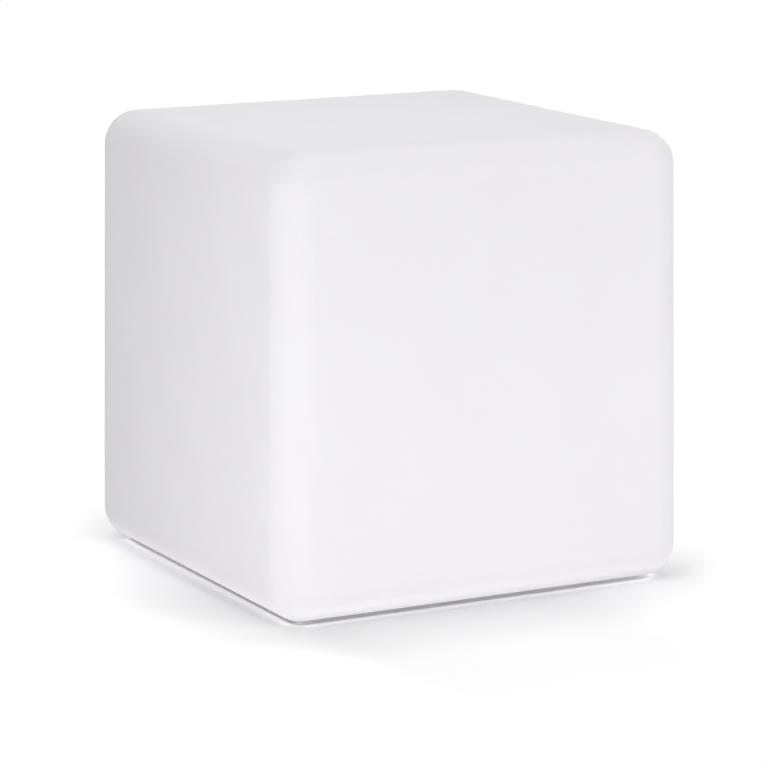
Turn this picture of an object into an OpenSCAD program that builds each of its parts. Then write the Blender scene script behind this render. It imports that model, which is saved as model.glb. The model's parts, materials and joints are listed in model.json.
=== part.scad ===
// Rechargeable outdoor light cube: a rounded, hollow plastic cube that stands on rubber feet.
// A sealed module with lights, battery, switch and charging socket is screwed up into its base.
// Millimetres. +Z is up, and the origin is on the floor, under the middle of the cube.

/* [Cube] */
// Width and depth at the widest level, just above the base
cube_w = 400; // [370:5:600]
// Height of the moulding, without its feet
cube_h = 400; // [250:5:600]
// Slope of each side, inwards towards the top, in degrees
side_draft = 0.7; // [0:0.1:2]
// Radius of every outside edge and corner
edge_r = 31; // [15:1:45]
// Thickness of the moulded wall
wall = 3.5; // [3:0.1:6]

/* [Feet] */
// Diameter of a rubber foot
foot_d = 26; // [16:1:36]
// Thickness of a foot
foot_t = 3.5; // [2.5:0.5:6]
// Depth of the pocket that a foot is glued into
foot_pocket = 1.5; // [0.5:0.1:2]
// From a side of the cube to the middle of a foot
foot_inset = 55; // [46:1:62]
// Chamfer around the lower edge of a foot
foot_chamfer = 0.6; // [0.2:0.1:1]

/* [Base recess] */
// Diameter of the round recess in the base
recess_d = 214; // [206:1:240]
// Depth of the recess
recess_depth = 36; // [34:1:60]
// Chamfer around the mouth of the recess
recess_chamfer = 3; // [1:0.5:6]
// Thickness of the land that the module is screwed to
land_t = 5; // [4:0.5:8]

/* [Base cover] */
// Gap between the edge of the base cover and the wall of the recess
cover_gap = 5; // [1:0.5:8]
// Thickness of the base cover
cover_t = 4; // [3:0.5:6]
// Chamfer around the lower edge of the base cover
cover_chamfer = 1; // [0.4:0.1:1.5]
// Thickness of the gasket between cover and land
gasket_t = 2; // [1:0.5:3]
// Depth of the flat seats that are sunk into the cover for washers and seals
seat_depth = 0.6; // [0.4:0.1:1]

/* [Large screws] */
// How many screws hold the module in the cube
flange_screw_count = 6; // [4:1:8]
// Diameter of the thread
screw_d = 4; // [3:0.5:5]
// Length under the head
screw_len = 14; // [12:1:16]
// Diameter of the head
screw_head_d = 8; // [7:0.5:9]
// Height of the head
screw_head_h = 2.6; // [2:0.1:3]
// Diameter of the sealing washer
washer_d = 10; // [9:0.5:12]
// Thickness of the sealing washer
washer_t = 1; // [0.5:0.1:1.5]
// Outer diameter of the brass insert
insert_d = 6.2; // [6:0.1:8]
// Length of the brass insert
insert_len = 9; // [7:0.5:11]
// Plastic around and above an insert
insert_boss_wall = 4; // [2:0.5:5]

/* [Small screws] */
// Diameter of the thread
small_d = 3; // [2.5:0.1:3.2]
// Diameter of the head
small_head_d = 5.5; // [5:0.1:6]
// Height of the head
small_head_h = 2; // [1.4:0.1:2.4]
// Diameter of the sealing washer
small_washer_d = 7; // [6.2:0.1:8]
// Thickness of the sealing washer
small_washer_t = 0.8; // [0.5:0.1:1]
// Diameter of the post or boss that such a screw goes into
small_boss_d = 7; // [6.5:0.1:8]

/* [Housing] */
// Gap between the housing and the hole in the land that it goes through
housing_gap = 2; // [1:0.5:3]
// Thickness of the housing's wall
housing_wall = 3; // [2:0.5:4]
// Height of the room inside the housing
housing_room = 28; // [27:1:40]
// Thickness of the deck over that room
deck_t = 3; // [2:0.5:5]
// Thickness of the flat seal under the housing
housing_seal_t = 1; // [0.6:0.1:2]
// How many screws join the housing and the base cover
housing_screw_count = 4; // [3:1:4]
// Length of those screws, under the head
housing_screw_len = 10; // [8:1:12]

/* [Lights] */
// Diameter of the light board
led_board_d = 112; // [106:1:116]
// Gap between the edge of the light board and the foot of the dome
led_board_gap = 4; // [1:0.5:6]
// Thickness of both circuit boards
board_t = 1.6; // [1:0.1:2]
// Width of a light-emitting diode
led_w = 5; // [3:0.5:6]
// Height of a light-emitting diode
led_h = 1.4; // [0.8:0.1:2]
// How many lights are in the outer ring
outer_led_count = 16; // [8:8:16]
// Radius of the outer ring of lights
outer_led_r = 44; // [42:0.5:45]
// How many lights are in the inner ring
inner_led_count = 8; // [4:4:8]
// Radius of the inner ring of lights
inner_led_r = 22; // [16:0.5:23]
// Thickness of the frosted dome
dome_t = 2; // [1.5:0.1:3]
// Height of the dome over its flange
dome_h = 24; // [16:1:34]
// Thickness of the seal under the dome
dome_seal_t = 1.2; // [0.8:0.1:2]
// Thickness of the ring that holds the dome down
dome_ring_t = 3; // [2:0.5:4]
// How many screws hold that ring
dome_screw_count = 6; // [6:6:12]
// Length of those screws, under the head
dome_screw_len = 12; // [10:1:13]

/* [Battery] */
// Diameter of a cell
cell_d = 18.4; // [16:0.1:18.6]
// Length of a cell
cell_len = 65; // [55:1:66]
// Gap between two cells
cell_gap = 0.6; // [0.2:0.1:1]
// Plastic under the cells
cradle_floor = 1.6; // [1:0.1:2]
// Plastic beside and behind the cells
cradle_wall = 2; // [1.2:0.1:2.2]
// Height of the cradle above the bottom of the cells
cradle_h = 7; // [4:0.5:8]
// Thickness of the nickel strips
tab_t = 0.3; // [0.1:0.1:0.5]
// Thickness of the foam pad on the cells
pad_t = 1; // [0.6:0.1:1.5]
// Thickness of the clamp bar over the cells
clamp_t = 2; // [1.5:0.1:2.4]
// Width of the clamp bar
clamp_w = 12; // [10:0.5:16]

/* [Control board] */
// Size of the control board, across
control_w = 70; // [66:1:72]
// Size of the control board, front to back
control_l = 36; // [34:0.5:37]
// Height of the board over the base cover
standoff_h = 4; // [3:0.5:6]
// Height of the wire connectors
plug_h = 6; // [5:0.5:7]

/* [Push switch] */
// From the middle of the cover to the switch, and to the charging socket
port_r = 50; // [49:0.5:51]
// Diameter of the button
button_d = 12; // [11:0.1:12.2]
// How far the button stands out
button_proud = 1.4; // [1.3:0.1:3]
// How far the button travels
button_travel = 1.2; // [0.5:0.1:1.3]
// Clearance around the button, on the radius
button_clear = 0.05; // [0.02:0.01:0.1]
// Diameter of the threaded barrel
switch_barrel_d = 16; // [16:0.5:18]
// Diameter of the front rim
switch_rim_d = 20; // [19.5:0.5:22]
// Thickness of the front rim
switch_rim_t = 2; // [1.5:0.1:3]
// Height of the barrel over the underside of the cover
switch_barrel_h = 14; // [12:0.5:16]
// Width across the flats of the nut
switch_nut_w = 19; // [19:0.5:22]
// Thickness of the nut
switch_nut_t = 3; // [2:0.5:4]
// Wire of the return spring
spring_wire = 0.6; // [0.4:0.05:0.8]
// Middle diameter of the return spring
spring_d = 8; // [7.5:0.1:9]
// Turns of the return spring
spring_turns = 5; // [3:1:6]

/* [Charging socket] */
// Diameter of the socket's bore
jack_bore_d = 5.9; // [5.7:0.1:6.4]
// Depth of the bore
jack_bore_depth = 11; // [10:0.5:12]
// Diameter of the centre pin
jack_pin_d = 2.1; // [2.1:0.4:2.5]
// How far the tip of the pin is behind the mouth
jack_pin_inset = 1; // [0.5:0.5:2]
// Diameter of the threaded barrel
jack_barrel_d = 11; // [10:0.5:12]
// Diameter of the front rim
jack_rim_d = 14; // [13.5:0.5:16]
// Thickness of the front rim
jack_rim_t = 2; // [1.5:0.1:2.5]
// Height of the barrel over the underside of the cover
jack_barrel_h = 14; // [12:0.5:16]
// Width across the flats of the nut
jack_nut_w = 14; // [13.5:0.5:16]
// Thickness of the nut
jack_nut_t = 2.5; // [2:0.5:4]

/* [Socket flap] */
// Gap between the flap and what it covers
flap_gap = 0.3; // [0.2:0.1:0.5]
// Gap between the flap's skirt and the rim of the socket, on the radius
flap_skirt_gap = 0.7; // [0.6:0.1:1]
// How far the skirt reaches over the rim
flap_skirt_h = 1.2; // [0.5:0.1:1.3]
// Thickness of the flap
flap_t = 2; // [1.5:0.1:2.5]
// Thickness of the seal pad in the flap
flap_pad_t = 1; // [0.6:0.1:1.2]
// Length of the finger tab
flap_tab = 3; // [2:0.5:4]
// Width of the arm, the finger tab and the knuckle
flap_arm_w = 8; // [6:0.5:10]
// From the middle of the socket to the hinge pin
hinge_reach = 14; // [13.5:0.5:15]
// From the underside of the cover down to the hinge pin
hinge_drop = 2.8; // [2.6:0.1:3]
// Diameter of the hinge pin
hinge_pin_d = 2; // [1.5:0.1:2.4]
// Plastic around the hinge pin
hinge_wall = 1.2; // [1:0.1:1.4]
// Thickness of each hinge ear
hinge_ear_t = 2; // [1.5:0.1:3]
// Running clearance around the hinge pin, on the radius
hinge_clear = 0.05; // [0.02:0.01:0.1]

/* [Hidden] */
// Facets of the rounded moulding, outside and inside
outer_fn = 48;
inner_fn = 36;
// Overshoot of a cut past a face
eps = 0.5;
$fn = 64;

// Levels, from the floor up
shell_z = foot_t - foot_pocket;
shell_top = shell_z + cube_h;
land_z = shell_z + recess_depth;
land_top = land_z + land_t;
cover_top = land_z - gasket_t;
cover_z = cover_top - cover_t;
seat_z = cover_z + seat_depth;
rim_z = cover_top + housing_seal_t;
deck_z = cover_top + housing_room;
deck_top = deck_z + deck_t;
led_board_top = deck_top + board_t;
dome_z = deck_top + dome_seal_t;
dome_flange_top = dome_z + dome_t;
dome_ring_top = dome_flange_top + dome_ring_t;
control_z = cover_top + standoff_h;
control_top = control_z + board_t;
cell_z = cover_top + cradle_floor + cell_d / 2;
cell_top = cell_z + cell_d / 2;
clamp_z = cell_top + pad_t;
clamp_top = clamp_z + clamp_t;

// Widths and radii
top_w = cube_w - 2 * (cube_h - 2 * edge_r) * tan(side_draft);
recess_r = recess_d / 2;
cover_r = recess_r - cover_gap;
insert_boss_d = insert_d + 2 * insert_boss_wall;
insert_boss_top = land_z + insert_len + insert_boss_wall;
foot_xy = cube_w / 2 - foot_inset;
seal_edge = 0.2;
seal_inset = 0.5;
gasket_edge = 1;
screw_hole_play = 0.5;
rim_chamfer = 0.5;

// The battery: cells side by side along X, each lying along Y, behind the control board
control_edge_y = -18;
cradle_gap = 6.7;
cell_count = 3;
cell_pitch = cell_d + cell_gap;
cell_play = 0.1;
cell_front = control_edge_y + cradle_gap + cradle_wall + tab_t;
cell_back = cell_front + cell_len;
cell_row_w = (cell_count - 1) * cell_pitch + cell_d;
cradle_w = cell_row_w + 2 * cradle_wall;
clamp_y = 24;
clamp_post_gap = 1;
clamp_post_x = cradle_w / 2 + small_boss_d / 2 + clamp_post_gap;
clamp_screw_len = 8;
tab_h = 8;

// The housing goes round the battery and the control board, and under the whole dome
dome_ring_gap = 1.5;
dome_ring_land = 5.5;
dome_screw_inset = 6;
corner_gap = 4;
control_y = control_edge_y - control_l / 2;
cradle_corner_r = norm([cradle_w / 2, cell_back + tab_t + cradle_wall]);
control_corner_r = norm([control_w / 2, control_y - control_l / 2]);
room_r = max(cradle_corner_r, control_corner_r) + corner_gap;
dome_needs_r = led_board_d / 2 + led_board_gap + dome_ring_gap + dome_ring_land + dome_screw_inset;
housing_r = max(room_r + housing_wall, dome_needs_r);
housing_bore_r = housing_r - housing_wall;
mouth_r = housing_r + housing_gap;
flange_screw_r = (mouth_r + cover_r) / 2;
housing_boss_gap = 1;
housing_boss_r = housing_bore_r - small_boss_d / 2 - housing_boss_gap;
housing_boss_h = 9;
housing_screw_turn = 45;
blind_end = 1;

// The dome and what holds it
dome_screw_r = housing_r - dome_screw_inset;
dome_screw_boss_h = 6;
dome_ring_inner_r = dome_screw_r - dome_ring_land;
dome_foot_r = dome_ring_inner_r - dome_ring_gap;
dome_sphere_r = (pow(dome_foot_r, 2) + pow(dome_h, 2)) / (2 * dome_h);
dome_sphere_z = dome_flange_top + dome_h - dome_sphere_r;

// The light board
led_screw_inset = 4.5;
led_screw_r = led_board_d / 2 - led_screw_inset;
led_screw_count = 3;
led_screw_turn = 30;
led_screw_len = 6;
led_boss_h = 4;
grommet_bore_d = 5.4;
grommet_d = 7.4;
grommet_lip = 1;
led_plug_inset = 21;
led_plug_gap = 1.3;
led_plug_y = led_plug_inset - led_board_d / 2;
lead_hole_y = led_plug_y + led_plug_gap + grommet_d / 2;

// The control board
control_hole_inset = 3.5;
control_hole_x = control_w / 2 - control_hole_inset;
control_hole_y = control_l / 2 - control_hole_inset;
control_screw_len = 5;
plug_pitch = 2;
plug_depth = 4.5;
plug_wall = 1.9;
plug_slot = 1.5;
plug_top = control_top + plug_h;
// Places on the control board, from its middle
battery_plug = [18, control_y + 11, 0];
switch_plug = [-28, control_y + 1, 0];
jack_plug = [28, control_y + 1, 0];
chip_places = [[-12, -7], [7, -8], [-12, 6]];
chip_sizes = [[10, 4, 1.6], [5, 4, 1.5], [5, 4, 1.5]];
chip_legs = [8, 4, 4];
inductor_place = [19, -9];
capacitor_places = [[-23, 11], [10, 1]];
indicator_y = control_y - 12;
indicator_d = 4;
indicator_flange_d = 6;
indicator_flange_t = 1;
indicator_proud = 0.5;
status_led_h = 0.8;

// The push switch
switch_rim_z = cover_z - switch_rim_t;
switch_lip_h = 3;
switch_wall = 1;
switch_room_r = switch_barrel_d / 2 - switch_wall;
button_flange_gap = 0.3;
button_flange_t = 2;
button_flange_z = switch_rim_z + switch_lip_h + button_flange_gap;
button_flange_top = button_flange_z + button_flange_t;
button_pilot_d = 5;
button_pilot_h = 2;
button_dish = 0.4;
contact_gap = 0.2;
switch_barrel_top = cover_z + switch_barrel_h;
contact_block_h = 4;
contact_block_z = switch_barrel_top - contact_block_h;
contact_cap_t = 2.5;
contact_post_z = button_flange_top + button_pilot_h + button_travel + contact_gap;
lug_w = 2.4;
lug_t = 0.6;
lug_h = 5;
switch_lug_x = 3;
switch_lug_top = switch_barrel_top + contact_cap_t + lug_h;

// The charging socket and its flap
jack_rim_z = cover_z - jack_rim_t;
jack_bore_top = jack_rim_z + jack_bore_depth;
jack_barrel_top = cover_z + jack_barrel_h;
jack_pin_chamfer = 0.5;
jack_pin_root_d = jack_pin_d + 0.5;
jack_lug_x = 3;
jack_lug_top = jack_barrel_top + lug_h;
flap_pad_z = jack_rim_z - flap_gap - flap_pad_t;
flap_z = flap_pad_z - flap_t;
flap_skirt_r = jack_rim_d / 2 + flap_skirt_gap;
flap_skirt_wall = 2;
flap_r = flap_skirt_r + flap_skirt_wall;
flap_pad_r = jack_rim_d / 2 - flap_gap;
hinge_x = port_r - hinge_reach;
hinge_z = cover_z - hinge_drop;
hinge_r = hinge_pin_d / 2 + hinge_wall;
hinge_side_gap = 0.3;

// Wires: each route is a list of points, made smooth and swept
wire_d = 1.6;
thin_wire_d = 1.1;
thin_wire_pitch = 1.2;
wire_gap = 0.15;
wire_sides = 8;
wire_steps = 3;
bend = 4;

// A ring of copies around the Z axis
module around(count, radius, turn = 0) {
    for (i = [0 : count - 1])
        rotate(turn + i * 360 / count)
            translate([radius, 0, 0])
                children();
}

// The same piece at all four corners of a rectangle
module at_corners(x, y) {
    for (sx = [-1, 1], sy = [-1, 1])
        translate([sx * x, sy * y, 0])
            children();
}

// A flat ring that stands on z
module ring(outer_r, inner_r, height, z) {
    translate([0, 0, z])
        difference() {
            cylinder(r = outer_r, h = height);
            translate([0, 0, -eps])
                cylinder(r = inner_r, h = height + 2 * eps);
        }
}

// A disc that stands on z = 0, with a chamfer around its lower edge
module bevelled_disc(r, height, chamfer) {
    cylinder(r1 = r - chamfer, r2 = r, h = chamfer);
    translate([0, 0, chamfer])
        cylinder(r = r, h = height - chamfer);
}

// A box that is centred in X and Y and stands on z
module block(size, z) {
    translate([-size[0] / 2, -size[1] / 2, z])
        cube(size);
}

// A pan-head screw: its seat is at z = 0, the shank points up, and the head hangs under it
module pan_screw(thread_d, length, head_d, head_h) {
    slot = head_d / 6;
    slot_depth = head_h / 2;
    difference() {
        union() {
            cylinder(d = thread_d, h = length);
            translate([0, 0, -head_h / 2])
                cylinder(d = head_d, h = head_h / 2);
            translate([0, 0, -head_h])
                cylinder(d1 = head_d * 0.7, d2 = head_d, h = head_h / 2);
        }
        for (turn = [0, 90])
            rotate(turn)
                translate([-head_d / 4, -slot / 2, -head_h - eps])
                    cube([head_d / 2, slot, slot_depth + eps]);
    }
}

// The same screw, upside down: its head is on top
module pan_screw_down(thread_d, length, head_d, head_h) {
    mirror([0, 0, 1])
        pan_screw(thread_d, length, head_d, head_h);
}

// A ball whose facets touch the true radius along all three axes
module corner_ball(r, facets) {
    rotate_extrude($fn = facets)
        intersection() {
            circle(r, $fn = facets);
            translate([0, -r])
                square([r, 2 * r]);
        }
}

// The rounded, slightly tapered cube, taken in by the same amount on every side
module rounded_cube(inset, facets) {
    r = edge_r - inset;
    bottom_xy = cube_w / 2 - edge_r;
    top_xy = top_w / 2 - edge_r;
    hull() {
        translate([0, 0, shell_z + edge_r])
            at_corners(bottom_xy, bottom_xy)
                corner_ball(r, facets);
        translate([0, 0, shell_top - edge_r])
            at_corners(top_xy, top_xy)
                corner_ball(r, facets);
    }
}

// The cube itself, with the recess in its base
module shell() {
    cup_r = recess_r + wall;
    color([0.96, 0.96, 0.95])
        difference() {
            union() {
                difference() {
                    rounded_cube(0, outer_fn);
                    rounded_cube(wall, inner_fn);
                }
                translate([0, 0, shell_z + wall / 2])
                    cylinder(r = cup_r, h = land_top - shell_z - wall / 2);
                around(flange_screw_count, flange_screw_r)
                    translate([0, 0, land_z])
                        cylinder(d = insert_boss_d, h = insert_boss_top - land_z);
            }
            translate([0, 0, -eps])
                cylinder(r = recess_r, h = land_z + eps);
            translate([0, 0, shell_z - eps])
                cylinder(r1 = recess_r + recess_chamfer + eps, r2 = recess_r, h = recess_chamfer + eps);
            cylinder(r = mouth_r, h = land_top + eps);
            around(flange_screw_count, flange_screw_r)
                cylinder(d = insert_d, h = land_z + insert_len);
            at_corners(foot_xy, foot_xy)
                cylinder(d = foot_d, h = shell_z + foot_pocket);
        }
}

module thread_inserts() {
    groove = 0.5;
    color("goldenrod")
        around(flange_screw_count, flange_screw_r)
            difference() {
                ring(insert_d / 2, screw_d / 2, insert_len, land_z);
                ring(insert_d / 2 + eps, insert_d / 2 - groove, insert_len / 5, land_z + insert_len * 0.4);
            }
}

module feet() {
    color("dimgray")
        at_corners(foot_xy, foot_xy)
            bevelled_disc(foot_d / 2, foot_t, foot_chamfer);
}

module flange_gasket() {
    color("gray")
        difference() {
            ring(cover_r, mouth_r + gasket_edge, gasket_t, cover_top);
            around(flange_screw_count, flange_screw_r)
                cylinder(d = screw_d + gasket_edge, h = land_z + eps);
        }
}

// An ear that carries one end of the flap's hinge pin
module hinge_ear() {
    translate([0, hinge_ear_t, 0])
        rotate([90, 0, 0])
            cylinder(r = hinge_r, h = hinge_ear_t);
    translate([-hinge_r, 0, 0])
        cube([2 * hinge_r, hinge_ear_t, hinge_drop + cover_t / 2]);
}

module hinge_ears() {
    inner_y = flap_arm_w / 2 + hinge_side_gap;
    translate([hinge_x, 0, hinge_z])
        for (side = [0, 1])
            mirror([0, side, 0])
                translate([0, inner_y, 0])
                    hinge_ear();
}

// The posts on the inside of the cover: four for the control board, two for the battery clamp
module cover_posts() {
    translate([0, control_y, 0])
        at_corners(control_hole_x, control_hole_y)
            ring(small_boss_d / 2, small_d / 2, standoff_h, cover_top);
    for (side = [-1, 1])
        translate([side * clamp_post_x, clamp_y, 0])
            difference() {
                translate([0, 0, cover_top])
                    cylinder(d = small_boss_d, h = clamp_z - cover_top);
                translate([0, 0, clamp_z - clamp_screw_len])
                    cylinder(d = small_d, h = clamp_screw_len + eps);
            }
}

module base_cover() {
    through = cover_t + 2 * eps;
    color([0.86, 0.87, 0.87]) {
        difference() {
            union() {
                translate([0, 0, cover_z])
                    bevelled_disc(cover_r, cover_t, cover_chamfer);
                hinge_ears();
            }
            around(flange_screw_count, flange_screw_r) {
                translate([0, 0, cover_z - eps]) {
                    cylinder(d = screw_d + screw_hole_play, h = through);
                    cylinder(d = washer_d + screw_hole_play, h = seat_depth + eps);
                }
            }
            around(housing_screw_count, housing_boss_r, housing_screw_turn) {
                translate([0, 0, cover_z - eps]) {
                    cylinder(d = small_d + screw_hole_play, h = through);
                    cylinder(d = small_washer_d + screw_hole_play, h = seat_depth + eps);
                }
            }
            translate([-port_r, 0, cover_z - eps]) {
                cylinder(d = switch_barrel_d, h = through);
                cylinder(r = switch_rim_d / 2 - seal_inset, h = seat_depth + eps);
            }
            translate([port_r, 0, cover_z - eps]) {
                cylinder(d = jack_barrel_d, h = through);
                cylinder(r = jack_rim_d / 2 - seal_inset, h = seat_depth + eps);
            }
            translate([0, indicator_y, cover_z - eps])
                cylinder(d = indicator_d, h = through);
            translate([hinge_x, 0, hinge_z])
                rotate([90, 0, 0])
                    cylinder(d = hinge_pin_d, h = 2 * flap_arm_w, center = true);
        }
        cover_posts();
    }
}

module flange_screws() {
    color("silver")
        around(flange_screw_count, flange_screw_r)
            translate([0, 0, seat_z - washer_t])
                pan_screw(screw_d, screw_len, screw_head_d, screw_head_h);
}

module screw_washers() {
    color("black") {
        around(flange_screw_count, flange_screw_r)
            ring(washer_d / 2, screw_d / 2, washer_t, seat_z - washer_t);
        around(housing_screw_count, housing_boss_r, housing_screw_turn)
            ring(small_washer_d / 2, small_d / 2, small_washer_t, seat_z - small_washer_t);
    }
}

// The tub that stands inside the cube: a round wall, a deck on top, and bosses for the screws
module module_housing() {
    web_w = 3;
    web_len = housing_bore_r + housing_wall / 2 - housing_boss_r;
    color([0.9, 0.9, 0.89])
        difference() {
            union() {
                ring(housing_r, housing_bore_r, deck_z - rim_z, rim_z);
                translate([0, 0, deck_z])
                    cylinder(r = housing_r, h = deck_t);
                around(housing_screw_count, housing_boss_r, housing_screw_turn) {
                    translate([0, 0, cover_top])
                        cylinder(d = small_boss_d, h = housing_boss_h);
                    translate([0, -web_w / 2, rim_z])
                        cube([web_len, web_w, housing_boss_h - housing_seal_t]);
                }
                around(dome_screw_count, dome_screw_r)
                    translate([0, 0, deck_z - dome_screw_boss_h])
                        cylinder(d = small_boss_d, h = dome_screw_boss_h + deck_t / 2);
                around(led_screw_count, led_screw_r, led_screw_turn)
                    translate([0, 0, deck_z - led_boss_h])
                        cylinder(d = small_boss_d, h = led_boss_h + deck_t / 2);
            }
            around(housing_screw_count, housing_boss_r, housing_screw_turn)
                translate([0, 0, cover_top - eps])
                    cylinder(d = small_d, h = housing_boss_h - blind_end + eps);
            around(dome_screw_count, dome_screw_r)
                translate([0, 0, deck_z - dome_screw_boss_h + blind_end])
                    cylinder(d = small_d, h = deck_t + dome_screw_boss_h);
            around(led_screw_count, led_screw_r, led_screw_turn)
                translate([0, 0, deck_z - led_boss_h + blind_end])
                    cylinder(d = small_d, h = deck_t + led_boss_h);
            translate([0, lead_hole_y, deck_z - eps])
                cylinder(d = grommet_d, h = deck_t + 2 * eps);
        }
}

module housing_seal() {
    color("gray")
        ring(housing_r, housing_bore_r + seal_edge, housing_seal_t, cover_top);
}

module housing_screws() {
    color("silver")
        around(housing_screw_count, housing_boss_r, housing_screw_turn)
            translate([0, 0, seat_z - small_washer_t])
                pan_screw(small_d, housing_screw_len, small_head_d, small_head_h);
}

module led_board() {
    color("white")
        difference() {
            translate([0, 0, deck_top])
                cylinder(d = led_board_d, h = board_t);
            around(led_screw_count, led_screw_r, led_screw_turn)
                translate([0, 0, deck_top - eps])
                    cylinder(d = small_d + screw_hole_play, h = board_t + 2 * eps);
            translate([0, lead_hole_y, deck_top - eps])
                cylinder(d = grommet_d, h = board_t + 2 * eps);
        }
}

// One light: a square package with a round, slightly sunk window
module led() {
    window_d = led_w * 0.76;
    window_depth = led_h / 8;
    difference() {
        block([led_w, led_w, led_h], 0);
        translate([0, 0, led_h - window_depth])
            cylinder(d = window_d, h = window_depth + eps);
    }
}

module leds() {
    color([0.98, 0.93, 0.6])
        translate([0, 0, led_board_top]) {
            around(outer_led_count, outer_led_r, 180 / outer_led_count)
                led();
            around(inner_led_count, inner_led_r, 180 / inner_led_count)
                led();
        }
}

module led_board_screws() {
    color("silver")
        around(led_screw_count, led_screw_r, led_screw_turn)
            translate([0, 0, led_board_top])
                pan_screw_down(small_d, led_screw_len, small_head_d, small_head_h);
}

function plug_w(ways) = ways * plug_pitch + plug_wall;

// A wire connector: a box on the board, with a slot that the wires go down into
module wire_plug(ways) {
    difference() {
        block([plug_w(ways), plug_depth, plug_h], 0);
        block([ways * plug_pitch, plug_depth * 0.75, plug_slot + eps], plug_h - plug_slot);
    }
}

// The connector on the light board lies on its back, so its wires leave it sideways
module led_connector() {
    ways = 4;
    height = plug_depth;
    color("ivory")
        translate([0, led_plug_y - plug_h / 2, led_board_top])
            difference() {
                block([plug_w(ways), plug_h, height], 0);
                translate([-ways * plug_pitch / 2, plug_h / 2 - plug_slot, height / 4])
                    cube([ways * plug_pitch, plug_slot + eps, height / 2]);
            }
}

// The receiver for the remote control: a dark block with a bulge on top
module remote_sensor() {
    size = [6, 5, 4];
    bulge_r = 2.4;
    color("black")
        translate([0, 0, led_board_top]) {
            block(size, 0);
            translate([0, 0, size[2]])
                intersection() {
                    sphere(r = bulge_r);
                    cylinder(r = bulge_r, h = bulge_r);
                }
        }
}

// The grommet that lines the lead's hole through deck and board
module lead_grommet() {
    lip = grommet_lip;
    color("dimgray")
        translate([0, lead_hole_y, 0])
            difference() {
                union() {
                    translate([0, 0, deck_z])
                        cylinder(d = grommet_d, h = led_board_top - deck_z);
                    translate([0, 0, deck_z - lip])
                        cylinder(d = grommet_d + 2 * lip, h = lip);
                    translate([0, 0, led_board_top])
                        cylinder(d = grommet_d + lip, h = lip / 2);
                }
                translate([0, 0, deck_z - lip - eps])
                    cylinder(d = grommet_bore_d, h = deck_t + board_t + 2 * lip + 2 * eps);
            }
}

module dome_seal() {
    color("gray")
        difference() {
            ring(housing_r, dome_foot_r, dome_seal_t, deck_top);
            around(dome_screw_count, dome_screw_r)
                translate([0, 0, deck_top - eps])
                    cylinder(d = small_d + screw_hole_play, h = dome_seal_t + 2 * eps);
        }
}

// A frosted cap, part of a ball, with a flat flange around its foot
module dome_lens() {
    color([0.95, 0.96, 0.97, 0.6])
        difference() {
            union() {
                translate([0, 0, dome_z])
                    cylinder(r = housing_r, h = dome_t);
                intersection() {
                    translate([0, 0, dome_sphere_z])
                        sphere(r = dome_sphere_r);
                    translate([0, 0, dome_flange_top])
                        cylinder(r = dome_foot_r, h = dome_h + eps);
                }
            }
            intersection() {
                translate([0, 0, dome_sphere_z])
                    sphere(r = dome_sphere_r - dome_t);
                translate([0, 0, dome_z - eps])
                    cylinder(r = dome_foot_r, h = dome_h + dome_t);
            }
            around(dome_screw_count, dome_screw_r)
                translate([0, 0, dome_z - eps])
                    cylinder(d = small_d + screw_hole_play, h = dome_t + 2 * eps);
        }
}

module dome_ring() {
    color([0.85, 0.85, 0.84])
        difference() {
            ring(housing_r, dome_ring_inner_r, dome_ring_t, dome_flange_top);
            around(dome_screw_count, dome_screw_r)
                translate([0, 0, dome_flange_top - eps])
                    cylinder(d = small_d + screw_hole_play, h = dome_ring_t + 2 * eps);
        }
}

module dome_screws() {
    color("silver")
        around(dome_screw_count, dome_screw_r)
            translate([0, 0, dome_ring_top])
                pan_screw_down(small_d, dome_screw_len, small_head_d, small_head_h);
}

module control_board() {
    color("seagreen")
        translate([0, control_y, 0])
            difference() {
                block([control_w, control_l, board_t], control_z);
                at_corners(control_hole_x, control_hole_y)
                    translate([0, 0, control_z - eps])
                        cylinder(d = small_d + screw_hole_play, h = board_t + 2 * eps);
            }
}

module board_screws() {
    color("silver")
        translate([0, control_y, control_top])
            at_corners(control_hole_x, control_hole_y)
                pan_screw_down(small_d, control_screw_len, small_head_d, small_head_h);
}

// A chip: a flat body on a row of legs along two sides
module chip(size, legs) {
    leg_w = 0.5;
    leg_reach = 1;
    leg_t = 0.3;
    pitch = size[0] / legs;
    block([size[0], size[1], size[2]], 0);
    for (i = [0 : legs - 1])
        translate([(i - (legs - 1) / 2) * pitch, 0, 0])
            block([leg_w, size[1] + 2 * leg_reach, leg_t], 0);
}

module control_chips() {
    color([0.15, 0.15, 0.16])
        translate([0, control_y, control_top])
            for (i = [0 : len(chip_places) - 1])
                translate(chip_places[i])
                    chip(chip_sizes[i], chip_legs[i]);
}

module inductor() {
    size = [7, 7, 3];
    core_d = 5.5;
    core_h = 0.6;
    color("slategray")
        translate([0, control_y, control_top])
            translate(inductor_place) {
                block(size, 0);
                translate([0, 0, size[2]])
                    cylinder(d = core_d, h = core_h);
            }
}

module capacitors() {
    can_d = 6.3;
    can_h = 7;
    base_h = 1;
    color("lightsteelblue")
        translate([0, control_y, control_top])
            for (place = capacitor_places)
                translate(place) {
                    block([can_d, can_d, base_h], 0);
                    translate([0, 0, base_h])
                        cylinder(d = can_d, h = can_h - base_h);
                }
}

module board_connectors() {
    color("ivory")
        translate([0, 0, control_top]) {
            translate([0, lead_hole_y, 0])
                wire_plug(4);
            translate(battery_plug)
                wire_plug(2);
            translate(switch_plug)
                rotate(90)
                    wire_plug(2);
            translate(jack_plug)
                rotate(90)
                    wire_plug(2);
        }
}

// The small light under the control board that shines down the indicator
module status_led() {
    color("yellow")
        translate([0, indicator_y, 0])
            block([1.6, 1.6, status_led_h], control_z - status_led_h);
}

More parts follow.
